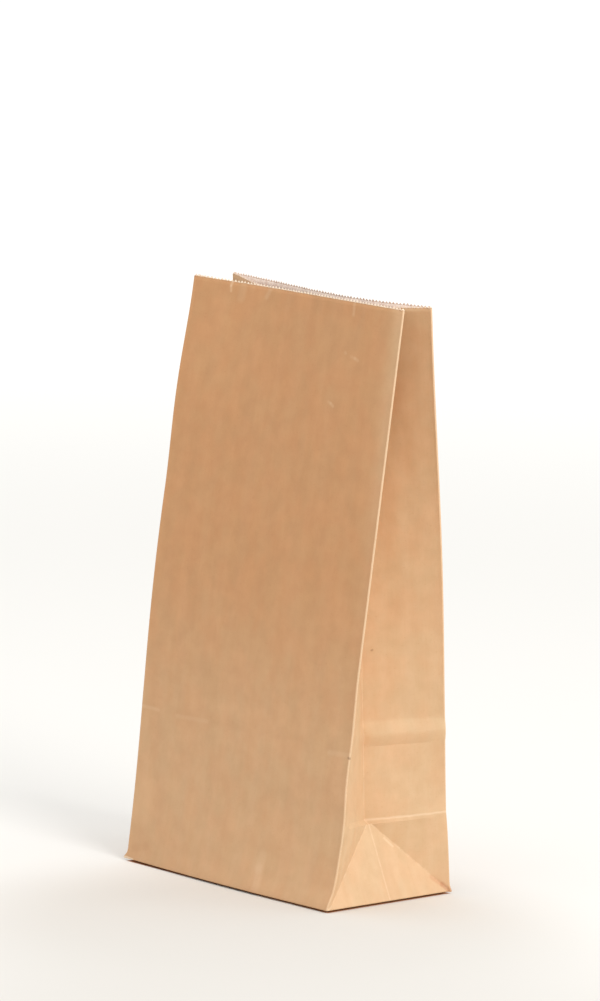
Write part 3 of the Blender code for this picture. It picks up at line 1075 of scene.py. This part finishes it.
@dataclass
class PinkedMouth:
    """The zigzag that the mouth was cut with: a row of small teeth along the sheet's top edge."""

    sheet: Sheet
    finishes: list  # of a tooth's outer side, inner side and cut edges
    seed: int = 5
    unevenness: float = 0.25
    thinned: float = 0.96  # of the sheet's thickness
    rooted: float = 0.44  # sets the prism's base just inside the sheet

    def rim_line(self) -> bpy.types.Object:
        """Makes the line of the teeth's valleys, with the sheet's directions at each point.

        Returns:
            A closed line of edges.
        """
        top, _, below = self.sheet.surface()["points"][:-4:-1]
        up = unit(top - below)
        on = unit(np.roll(top, -1, axis=0) - np.roll(top, 1, axis=0))
        count = len(top)
        mesh = bpy.data.meshes.new("pinked_mouth")
        mesh.from_pydata(top.tolist(), [(k, (k + 1) % count) for k in range(count)], [])
        for name, values in (("up", up), ("out", unit(np.cross(on, up)))):
            layer = mesh.attributes.new(name, "FLOAT_VECTOR", "POINT")
            layer.data.foreach_set("vector", values.astype(np.float32).reshape(-1))
        obj = bpy.data.objects.new("pinked_mouth", mesh)
        bpy.context.scene.collection.objects.link(obj)
        return obj

    def tree(self) -> Tree:
        """The node tree that sets a tooth on every step of the line.

        Returns:
            The tree, whose named inputs are the teeth's sizes and the seed.
        """
        tree = bpy.data.node_groups.new("pinked edge", "GeometryNodeTree")
        face = tree.interface
        face.new_socket("Geometry", in_out="INPUT", socket_type="NodeSocketGeometry")
        for name in ("Tooth pitch", "Tooth depth", "Sheet thickness", "Unevenness"):
            face.new_socket(name, in_out="INPUT", socket_type="NodeSocketFloat")
        face.new_socket("Seed", in_out="INPUT", socket_type="NodeSocketInt")
        face.new_socket("Geometry", in_out="OUTPUT", socket_type="NodeSocketGeometry")
        sizes = add_node(tree, "NodeGroupInput").outputs
        curve = add_node(tree, "GeometryNodeMeshToCurve", {"Mesh": sizes["Geometry"]})
        steps = {"Curve": curve, "Length": sizes["Tooth pitch"]}
        even = add_node(tree, "GeometryNodeResampleCurve", steps, mode="LENGTH")
        line = add_node(tree, "GeometryNodeCurveToMesh", {"Curve": even})
        spots = add_node(tree, "GeometryNodeMeshToPoints", {"Mesh": line}, mode="EDGES")
        # A prism of radius 1 is 1.5 long and the root of 3 wide, so these shares fit it to a tooth.
        thirds = {"Vertices": 3, "Side Segments": 1, "Radius": 1.0, "Depth": 1.0}
        prism = add_node(tree, "GeometryNodeMeshCylinder", thirds, fill_type="NGON")
        fitted = [
            add_node(tree, "ShaderNodeMath", {0: sizes[name], 1: share}, operation="MULTIPLY")
            for name, share in (
                ("Tooth depth", 1 / 1.5),
                ("Tooth pitch", 1 / math.sqrt(3)),
                ("Sheet thickness", self.thinned),
            )
        ]
        scale = add_node(tree, "ShaderNodeCombineXYZ", dict(zip("XYZ", fitted)))
        root = add_node(tree, "ShaderNodeMath", {0: fitted[0], 1: self.rooted}, operation="MULTIPLY")
        shift = add_node(tree, "ShaderNodeCombineXYZ", {"X": root})
        fit = {"Geometry": prism.outputs["Mesh"], "Translation": shift, "Scale": scale}
        shaped = add_node(tree, "GeometryNodeTransform", fit)
        # How near each point is to the tooth's tip, for the finish.
        height = add_node(tree, "ShaderNodeSeparateXYZ", {0: add_node(tree, "GeometryNodeInputPosition")})
        reached = {"Value": height.outputs["X"], "From Max": sizes["Tooth depth"]}
        tip = {"Geometry": shaped, "Name": "tip", "Value": add_node(tree, "ShaderNodeMapRange", reached)}
        tooth = add_node(tree, "GeometryNodeStoreNamedAttribute", tip, data_type="FLOAT", domain="POINT")
        for part, finish in zip(("Top", "Bottom", "Side"), self.finishes):
            coat = {"Geometry": tooth, "Selection": prism.outputs[part], "Material": finish}
            tooth = add_node(tree, "GeometryNodeSetMaterial", coat)
        out, up = (
            add_node(tree, "GeometryNodeInputNamedAttribute", {"Name": name}, data_type="FLOAT_VECTOR")
            for name in ("out", "up")
        )
        turn = add_node(
            tree,
            "FunctionNodeAxesToRotation",
            {"Primary Axis": out, "Secondary Axis": up},
            primary_axis="Z",
            secondary_axis="X",
        )
        least = add_node(tree, "ShaderNodeMath", {0: 1.0, 1: sizes["Unevenness"]}, operation="SUBTRACT")
        spread = {"Min": least, "Max": 1.0, "Seed": sizes["Seed"]}
        dice = add_node(tree, "FunctionNodeRandomValue", spread, data_type="FLOAT")
        uneven = add_node(tree, "ShaderNodeCombineXYZ", {"X": dice.outputs[1], "Y": 1.0, "Z": 1.0})
        row = {"Points": spots, "Instance": tooth, "Rotation": turn, "Scale": uneven}
        teeth = add_node(tree, "GeometryNodeInstanceOnPoints", row)
        real = add_node(tree, "GeometryNodeRealizeInstances", {"Geometry": teeth})
        add_node(tree, "NodeGroupOutput", {0: real})
        return tree

    def build(self) -> bpy.types.Object:
        """Makes the row of teeth.

        Returns:
            The piece.
        """
        blank = self.sheet.form.blank
        obj, tree = self.rim_line(), self.tree()
        step = obj.modifiers.new("teeth", "NODES")
        step.node_group = tree
        values = {
            "Tooth pitch": blank.tooth_pitch,
            "Tooth depth": blank.tooth_depth,
            "Sheet thickness": blank.sheet,
            "Unevenness": self.unevenness,
            "Seed": self.seed,
        }
        for item in tree.interface.items_tree:
            if item.item_type == "SOCKET" and item.in_out == "INPUT" and item.name in values:
                step[item.identifier] = values[item.name]
        return settle(obj)


@dataclass(frozen=True)
class Pattern:
    """Noise whose features have a real width and height in mm, and the tones it runs between."""

    size: Span
    detail: float
    low: str = "#000000"
    high: str = "#FFFFFF"
    span: Span = (0.0, 1.0)

    def noise(self, tree: Tree, place: Socket) -> Socket:
        """Adds the noise.

        Args:
            tree: the material's node tree.
            place: coordinates in metres.

        Returns:
            Its factor.
        """
        scale = (1 / (self.size[0] * MM), 1 / (self.size[1] * MM), 1.0)
        spot = add_node(tree, "ShaderNodeMapping", {"Vector": place, "Scale": scale})
        look = {"Vector": spot, "Scale": 1.0, "Detail": self.detail, "Roughness": 0.55}
        return add_node(tree, "ShaderNodeTexNoise", look, noise_dimensions="3D").outputs["Fac"]

    def tones(self, tree: Tree, factor: Socket) -> Socket:
        """Adds the tones.

        Args:
            tree: the material's node tree.
            factor: what picks the tone over the span, such as the noise.

        Returns:
            Their colour.
        """
        step = {"Value": factor, "From Min": self.span[0], "From Max": self.span[1]}
        ramp = add_node(tree, "ShaderNodeMapRange", step, interpolation_type="SMOOTHSTEP")
        ends = {"Factor": ramp, "A": linear(self.low), "B": linear(self.high)}
        return add_node(tree, "ShaderNodeMix", ends, data_type="RGBA").outputs["Result"]


@dataclass(frozen=True)
class RubbedLine:
    """A crease's pale line: a thin band along a distance that is stored on the sheet, in mm."""

    distance: str
    half_width: float
    strength: float
    wander: float
    breaks: float  # below this much noise the line is broken
    share: str = ""  # a stored share that weakens it
    tone: str = "#F1D6B4"
    soft: float = 0.2
    grain: Span = (4.0, 4.0)

    def factor(self, tree: Tree, place: Socket) -> Socket:
        """How much of the line shows at each place.

        Args:
            tree: the material's node tree.
            place: the sheet's coordinates, in metres.

        Returns:
            The socket with the factor.
        """
        stored = add_node(tree, "ShaderNodeAttribute", attribute_name=self.distance).outputs["Fac"]
        noise = {0: Pattern(self.grain, 3.0).noise(tree, place), 1: 2 * self.wander, 2: -self.wander}
        offset = add_node(tree, "ShaderNodeMath", noise, operation="MULTIPLY_ADD")
        moved = add_node(tree, "ShaderNodeMath", {0: stored, 1: offset}, operation="ADD")
        away = add_node(tree, "ShaderNodeMath", {0: moved}, operation="ABSOLUTE")
        band = {"Value": away, "From Min": self.half_width, "From Max": 0.0, "To Max": self.strength}
        shown = add_node(tree, "ShaderNodeMapRange", band, interpolation_type="SMOOTHSTEP")
        gaps = Pattern(self.grain, 4.0).noise(tree, place)
        whole = {"Value": gaps, "From Min": self.breaks, "From Max": self.breaks + self.soft}
        factors = [add_node(tree, "ShaderNodeMapRange", whole, interpolation_type="SMOOTHSTEP")]
        if self.share:
            share = add_node(tree, "ShaderNodeAttribute", attribute_name=self.share)
            factors.append(share.outputs["Fac"])
        for factor in factors:
            shown = add_node(tree, "ShaderNodeMath", {0: shown, 1: factor}, operation="MULTIPLY")
        return shown.outputs[0]


# The fold line follows the share of rubbing and painted highlight, which is largest on the right folds.
RUBBED_LINES = (
    RubbedLine("fold_mm", 0.82, 0.60, 0.22, 0.18, "wear"),
    RubbedLine("slope_mm", 0.90, 0.22, 0.45, 0.42),
    RubbedLine("middle_mm", 0.75, 0.30, 0.35, 0.28),
    RubbedLine("half_mm", 0.90, 0.42, 0.35, 0.18),
)


@dataclass(frozen=True)
class Scuff:
    """A stroke between two places (u, v) in mm: rubbing, soiling, painted highlight or painted shade."""

    start: Span
    end: Span
    half_width: float
    strength: float
    tone: str = "#EFD0AB"
    core: float = 0.2  # share of the half width that shows at full strength

    def factor(self, tree: Tree, place: Socket) -> Socket:
        """How much of the stroke shows at each place.

        Args:
            tree: the material's node tree.
            place: the sheet's coordinates, in metres.

        Returns:
            The socket with the factor.
        """
        start = Vector((*self.start, 0.0)) * MM
        run = Vector((*self.end, 0.0)) * MM - start
        since = add_node(tree, "ShaderNodeVectorMath", {0: place, 1: start}, operation="SUBTRACT")
        pace = {0: since, 1: run / run.length_squared}
        along = add_node(tree, "ShaderNodeVectorMath", pace, operation="DOT_PRODUCT")
        share = add_node(tree, "ShaderNodeClamp", {"Value": along.outputs["Value"]})
        step = add_node(tree, "ShaderNodeVectorMath", {0: run, "Scale": share}, operation="SCALE")
        away = add_node(tree, "ShaderNodeVectorMath", {0: since, 1: step}, operation="DISTANCE")
        stroke = {"Value": away.outputs["Value"], "To Max": self.strength}
        stroke |= {"From Min": self.half_width * MM, "From Max": self.core * self.half_width * MM}
        return add_node(tree, "ShaderNodeMapRange", stroke, interpolation_type="SMOOTHSTEP").outputs[0]


SCUFFS = (
    Scuff((25.3, 295.6), (24.7, 293.6), 1.2, 0.32),
    Scuff((24.7, 293.6), (25.2, 291.0), 1.1, 0.26),
    Scuff((33.2, 295.0), (32.6, 288.4), 3.6, 0.10),
    Scuff((52.0, 295.6), (49.8, 291.0), 2.2, 0.15),
    Scuff((115.2, 295.6), (115.4, 289.6), 1.4, 0.17),
    Scuff((113.6, 270.9), (114.2, 270.5), 1.1, 0.15),
    Scuff((118.0, 269.3), (120.7, 268.8), 1.2, 0.10),
    Scuff((120.7, 268.8), (122.9, 268.0), 1.3, 0.15),
    Scuff((106.4, 245.7), (108.3, 245.2), 1.2, 0.11),
    Scuff((108.3, 245.2), (110.2, 244.0), 1.3, 0.15),
    Scuff((98.5, 18.3), (97.7, 11.6), 4.2, 0.13),
    Scuff((97.7, 11.6), (98.9, 3.0), 4.0, 0.16),
    # Painted highlight: the underside of the front-left ear's rim, where it catches the light.
    Scuff((0.6, 0.1), (7.0, -0.4), 1.0, 0.70, "#FBE6C8"),
    # Painted highlight along the front panel's pressed ridge.
    Scuff((0.8, 78.0), (12.4, 77.8), 1.5, 0.15),
    Scuff((26.7, 76.9), (48.5, 77.6), 1.8, 0.10),
    Scuff((135.3, 75.8), (149.6, 76.5), 2.0, 0.11),
    Scuff((149.2, 75.3), (149.9, 75.0), 0.9, 0.60, "#8A6446"),
    Scuff((196.0, 125.2), (196.4, 125.4), 0.8, 0.55, "#9A6F4C"),
    # Painted highlight: the front panel's lower left, which faces the light more.
    Scuff((5.0, 24.0), (8.0, 38.0), 10.0, 0.25, "#E4B98C"),
    # Painted shade in the dent at the front-left ear.
    Scuff((4.5, 5.5), (13.0, 8.0), 3.5, 0.22, "#B98A5E"),
    # Painted shade in the folds of the back-right ear.
    Scuff((222.5, 8.0), (228.1, 3.6), 2.0, 0.30, "#C08058"),
    Scuff((228.1, 3.6), (231.5, 0.4), 2.0, 0.45, "#B06E48"),
    Scuff((198.5, 31.0), (202.6, 26.5), 1.0, 0.40),
)


@dataclass(frozen=True)
class KraftPaper:
    """Unbleached kraft paper, machine-made: brown, matt, with fibres and streaks up the sheet."""

    name: str = "unbleached kraft paper, machine-glazed"
    # Its own tone, and the paler tone that painted light blends it towards.
    own_tone: str = "#CC9A6D"
    bleached: str = "#DFBF99"
    # Real fibres are about 0.03 mm wide and 3 mm long, too fine to show, so bundles are drawn.
    fibre: Pattern = Pattern((0.7, 7.0), 3.0, "#FEFDFB", span=(0.3, 0.6))
    streak: Pattern = Pattern((7.0, 60.0), 2.0, "#FCFAF7", span=(0.3, 0.7))
    mottle: Pattern = Pattern((9.0, 9.0), 3.0, "#F8F5F2", span=(0.25, 0.75))
    tint: Pattern = Pattern((15.0, 22.0), 2.0, "#FFFBF8", "#FBFCFA", (0.35, 0.65))
    fleck: Pattern = Pattern((1.3, 0.8), 1.0, "#FFFFFF", "#FAF6F2", (0.64, 0.74))
    roughness: Span = (0.56, 0.70)
    fibre_relief: float = 0.00004
    marks: tuple = (*RUBBED_LINES, *SCUFFS)

    def build(self) -> bpy.types.Material:
        """Makes the material.

        Its fibres and streaks give the eye fine upright lines, painted light makes it paler low down and
        on the gussets, and fold tops are rubbed paler still, the right ones also as painted highlight.

        Returns:
            The material.
        """
        material, tree, shader = start_material(self.name, {"IOR": 1.46, "Metallic": 0.0})
        place = add_node(tree, "ShaderNodeUVMap", uv_map="sheet").outputs[0]
        # Painted light: the stored share blends the paper towards its paler tone.
        lit_share = add_node(tree, "ShaderNodeAttribute", attribute_name="bleach").outputs["Fac"]
        ends = {"Factor": lit_share, "A": linear(self.own_tone), "B": linear(self.bleached)}
        colour = add_node(tree, "ShaderNodeMix", ends, data_type="RGBA").outputs["Result"]
        noises = {
            pattern: pattern.noise(tree, place)
            for pattern in (self.streak, self.mottle, self.fibre, self.tint, self.fleck)
        }
        for pattern, noise in noises.items():
            layers = {"Factor": 1.0, "A": colour, "B": pattern.tones(tree, noise)}
            mixed = add_node(tree, "ShaderNodeMix", layers, data_type="RGBA", blend_type="MULTIPLY")
            colour = mixed.outputs["Result"]
        for mark in self.marks:
            layers = {"Factor": mark.factor(tree, place), "A": colour, "B": linear(mark.tone)}
            colour = add_node(tree, "ShaderNodeMix", layers, data_type="RGBA").outputs["Result"]
        tree.links.new(colour, shader.inputs["Base Color"])
        gloss = {"Value": noises[self.mottle], "To Min": self.roughness[0], "To Max": self.roughness[1]}
        rough = add_node(tree, "ShaderNodeMapRange", gloss)
        tree.links.new(rough.outputs[0], shader.inputs["Roughness"])
        relief = {"Strength": 0.35, "Distance": self.fibre_relief, "Height": noises[self.fibre]}
        bump = add_node(tree, "ShaderNodeBump", relief)
        tree.links.new(bump.outputs[0], shader.inputs["Normal"])
        return material


@dataclass(frozen=True)
class PalePly:
    """The sheet's inner ply: paler paper of short fibres, which looks greyish pink in the shade."""

    name: str = "pale inner paper ply, uncoated"
    streak: Pattern = Pattern((4.5, 60.0), 2.0, "#EAD0BF", "#FFEDDD", (0.28, 0.68))
    # Bundles of fibres again, shorter than the kraft's.
    fibre: Pattern = Pattern((0.8, 5.0), 2.0, "#F5F1ED", span=(0.3, 0.6))
    fibre_share: float = 0.7
    fibre_relief: float = 0.00004

    def build(self) -> bpy.types.Material:
        """Makes the material, with faint upright streaks that are paler and darker.

        Returns:
            The material, with a little sheen from its short fibres.
        """
        soft = {"IOR": 1.46, "Roughness": 0.75, "Sheen Weight": 0.6, "Sheen Roughness": 0.6}
        material, tree, shader = start_material(self.name, soft)
        place = add_node(tree, "ShaderNodeUVMap", uv_map="sheet").outputs[0]
        fibre = self.fibre.noise(tree, place)
        ply = self.streak.tones(tree, self.streak.noise(tree, place))
        layers = {"Factor": self.fibre_share, "A": ply, "B": self.fibre.tones(tree, fibre)}
        colour = add_node(tree, "ShaderNodeMix", layers, data_type="RGBA", blend_type="MULTIPLY")
        tree.links.new(colour.outputs["Result"], shader.inputs["Base Color"])
        relief = {"Strength": 0.3, "Distance": self.fibre_relief, "Height": fibre}
        tree.links.new(add_node(tree, "ShaderNodeBump", relief).outputs[0], shader.inputs["Normal"])
        return material


@dataclass(frozen=True)
class CutFibres:
    """The freshly cut edge of paper: loose pale fibres, which catch the light."""

    name: str = "kraft paper, cut edge"
    # Tufts of frayed fibres: single ones are too fine to show.
    # The brown roots are partly painted shade, for the gaps between the teeth.
    tip: Pattern = Pattern((0.8, 0.8), 3.0, "#B98658", "#FFEBD0", (0.0, 0.4))
    fraying: float = 0.2

    def build(self) -> bpy.types.Material:
        """Makes the material: brown at the roots, where the blade pressed the plies and as painted shade
        between the teeth, pale at the loose tips.

        Returns:
            The material.
        """
        material, tree, shader = start_material(self.name, {"Roughness": 0.8})
        place = add_node(tree, "ShaderNodeTexCoord").outputs["Object"]
        noise = {0: self.tip.noise(tree, place), 1: 2 * self.fraying, 2: -self.fraying}
        frayed = add_node(tree, "ShaderNodeMath", noise, operation="MULTIPLY_ADD")
        near_tip = add_node(tree, "ShaderNodeAttribute", attribute_name="tip").outputs["Fac"]
        loose = add_node(tree, "ShaderNodeMath", {0: near_tip, 1: frayed}, operation="ADD")
        tree.links.new(self.tip.tones(tree, loose.outputs[0]), shader.inputs["Base Color"])
        return material


@dataclass(frozen=True)
class MattFloor:
    """A matt pale studio floor, on which the bag's soft shadow lies.

    The camera's own rays and glossy ones also see a faint glow that makes it nearly white. The glow
    leaves out the bag's foot and is weaker in front of the bag, where the soft shadow lies.
    """

    toward: Vector  # the direction of the camera, along the floor
    name: str = "matt white floor"
    bare: str = "#DEDBD5"
    under_bag: str = "#C58D66"  # light that the kraft throws on the floor under the bag's rim
    footprint: tuple = (0.0738, 0.0409, 0.0)
    foot_line: float = 0.0016
    glow: str = "#F5FAFF"
    # The glow is near times clear, plus far. For each: how far its centre is towards the camera,
    # from what distance to what distance it builds up, and how strong it gets.
    far: tuple = (0.0, 0.9, 2.6, 0.26)
    near: tuple = (0.33, 0.06, 0.36, 0.195)
    clear: tuple = (0.12, 0.08, 0.19, 1.0)
    clear_shift: tuple = (-0.01, -0.01, 0.0)

    def build(self) -> bpy.types.Material:
        """Makes the material.

        Returns:
            The material, whose glow adds no diffuse light to anything.
        """
        matt = {"Roughness": 1.0, "Specular IOR Level": 0.0}
        material, tree, shader = start_material(self.name, matt)
        place = add_node(tree, "ShaderNodeTexCoord").outputs["Object"]
        size = add_node(tree, "ShaderNodeVectorMath", {0: place}, operation="ABSOLUTE")
        past = {0: size, 1: self.footprint}
        beyond = add_node(tree, "ShaderNodeVectorMath", past, operation="SUBTRACT")
        sides = add_node(tree, "ShaderNodeSeparateXYZ", {0: beyond}).outputs
        outside = add_node(tree, "ShaderNodeMath", {0: sides["X"], 1: sides["Y"]}, operation="MAXIMUM")
        ramps = [(outside.outputs[0], 0.0, self.foot_line, 1.0)]
        for part, shift in ((self.far, None), (self.near, None), (self.clear, self.clear_shift)):
            centre = self.toward * part[0] + Vector(shift or (0.0, 0.0, 0.0))
            away = add_node(tree, "ShaderNodeVectorMath", {0: place, 1: centre}, operation="DISTANCE")
            ramps.append((away.outputs["Value"], *part[1:]))
        bare, far, near, clear = (
            add_node(
                tree,
                "ShaderNodeMapRange",
                {"Value": distance, "From Min": start, "From Max": end, "To Max": most},
                interpolation_type="SMOOTHSTEP",
            )
            for distance, start, end, most in ramps
        )
        ends = {"Factor": bare, "A": linear(self.under_bag), "B": linear(self.bare)}
        surface = add_node(tree, "ShaderNodeMix", ends, data_type="RGBA")
        tree.links.new(surface.outputs["Result"], shader.inputs["Base Color"])
        lit = add_node(tree, "ShaderNodeMath", {0: near, 1: clear}, operation="MULTIPLY")
        strength = add_node(tree, "ShaderNodeMath", {0: lit, 1: bare, 2: far}, operation="MULTIPLY_ADD")
        glow = add_node(tree, "ShaderNodeEmission", {"Color": linear(self.glow), "Strength": strength})
        nothing = add_node(tree, "ShaderNodeEmission", {"Strength": 0.0})
        rays = add_node(tree, "ShaderNodeLightPath").outputs
        views = {0: rays["Is Camera Ray"], 1: rays["Is Glossy Ray"]}
        seen = add_node(tree, "ShaderNodeMath", views, operation="MAXIMUM")
        light = add_node(tree, "ShaderNodeMixShader", {0: seen, 1: nothing, 2: glow})
        both = add_node(tree, "ShaderNodeAddShader", {0: shader, 1: light})
        tree.links.new(both.outputs[0], tree.nodes["Material Output"].inputs["Surface"])
        return material


@dataclass(frozen=True)
class Lamp:
    """A round soft lamp: its place and width in metres, and its power in watts."""

    name: str
    place: tuple[float, float, float]
    width: float
    power: float


LAMPS = (
    Lamp("key", (2.7, -0.45, 2.1), 1.6, 52.0),
    Lamp("rear", (2.1, 1.9, 0.7), 1.3, 10.0),
    Lamp("top", (-0.5, -0.7, 2.6), 1.6, 7.0),
)


@dataclass
class Studio:
    """The pale floor, the soft lights and the camera at the photograph's angle."""

    azimuth: float = 46.86  # all three angles in degrees
    elevation: float = 8.56
    roll: float = 1.99
    distance: float = 3.237
    target: float = 0.1913  # height that the camera looks at
    lens: float = 233.8  # in millimetres, as the sensor
    sensor: float = 36.0
    floor_radius: float = 14.0
    lamp_target: Vector = field(default_factory=lambda: Vector((0.0, 0.0, 0.15)))
    world: Span = (0.85, 1.0)  # its strength for other rays and for the camera's

    def toward(self, elevation: float) -> Vector:
        """The direction of the camera from the bag, at an elevation in radians."""
        around, flat = math.radians(self.azimuth), math.cos(elevation)
        return Vector((math.sin(around) * flat, -math.cos(around) * flat, math.sin(elevation)))

    def camera(self) -> bpy.types.Object:
        """Sets the camera up, without shift or depth of field.

        Returns:
            The camera.
        """
        roll = math.radians(self.roll)
        toward = self.toward(math.radians(self.elevation))
        right = Vector((0, 0, 1)).cross(toward).normalized()
        up = toward.cross(right)
        side = math.cos(roll) * right + math.sin(roll) * up
        top = -math.sin(roll) * right + math.cos(roll) * up
        data = bpy.data.cameras.new("camera")
        data.sensor_width = self.sensor
        data.lens = self.lens
        data.dof.use_dof = False
        camera = bpy.data.objects.new("camera", data)
        place = toward * self.distance + Vector((0, 0, self.target))
        turn = Matrix((side, top, toward)).transposed().to_4x4()
        camera.matrix_world = Matrix.Translation(place) @ turn
        bpy.context.scene.collection.objects.link(camera)
        bpy.context.scene.camera = camera
        return camera

    def floor(self) -> bpy.types.Object:
        """Makes the floor.

        Returns:
            The floor, which isn't a piece of the bag.
        """
        work = bmesh.new()
        bmesh.ops.create_circle(work, cap_ends=True, radius=self.floor_radius, segments=96)
        mesh = bpy.data.meshes.new("floor")
        work.to_mesh(mesh)
        work.free()
        floor = dress(mesh, [MattFloor(self.toward(0.0)).build()])
        return floor

    def lights(self) -> None:
        """Sets the lamps, of which the key stands on the camera's right, and an even white world."""
        world = bpy.data.worlds.new("studio")
        world.use_nodes = True
        tree = world.node_tree
        back = tree.nodes["Background"].inputs
        back["Color"].default_value = linear("#FFFFFF")
        seen = add_node(tree, "ShaderNodeLightPath").outputs["Is Camera Ray"]
        power = {"Value": seen, "To Min": self.world[0], "To Max": self.world[1]}
        tree.links.new(add_node(tree, "ShaderNodeMapRange", power).outputs[0], back["Strength"])
        bpy.context.scene.world = world
        for lamp in LAMPS:
            data = bpy.data.lights.new(lamp.name, "AREA")
            data.shape = "DISK"
            data.size = lamp.width
            data.energy = lamp.power
            light = bpy.data.objects.new(lamp.name, data)
            spot = Vector(lamp.place)
            turn = (spot - self.lamp_target).to_track_quat("Z", "Y").to_matrix().to_4x4()
            light.matrix_world = Matrix.Translation(spot) @ turn
            bpy.context.scene.collection.objects.link(light)


def attach(piece: bpy.types.Object) -> None:
    """Hides the bag's solid that a piece stands in for, lets the piece ride on its body and logs it.

    Args:
        piece: the finished piece.
    """
    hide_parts("paper_bag")
    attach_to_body(piece, "root")
    triangles = sum(len(polygon.vertices) - 2 for polygon in piece.data.polygons)
    LOG.info("%s: %d triangles", piece.name, triangles)


def main() -> None:
    """Builds the bag and the studio, and reports each piece."""
    logging.basicConfig(level=logging.INFO, format="%(name)s %(message)s")
    bpy.context.scene.view_settings.view_transform = "Standard"
    kraft, lining, cut = KraftPaper().build(), PalePly().build(), CutFibres().build()
    inner_tip = replace(CutFibres().tip, low="#D2B29A", high="#EFDACA")
    inner_cut = CutFibres("kraft paper, cut edge from inside", inner_tip).build()
    form = Form()
    sheet = Sheet(form, RubbingAndPaintedLight(form), [kraft, lining, cut])
    attach(sheet.build())
    for depth, under in ((Depth.FRONT, form.blank.sheet), (Depth.BACK, 0.0)):
        name = f"{depth.name.lower()}_bottom_flap"
        attach(BottomFlap(form, depth, name, under, [kraft, cut]).build())
    attach(GluedLap(sheet, [kraft, cut]).build())
    attach(PinkedMouth(sheet, [cut, inner_cut, inner_cut]).build())
    studio = Studio()
    studio.floor()
    studio.lights()
    studio.camera()


if __name__ == "__main__":
    main()
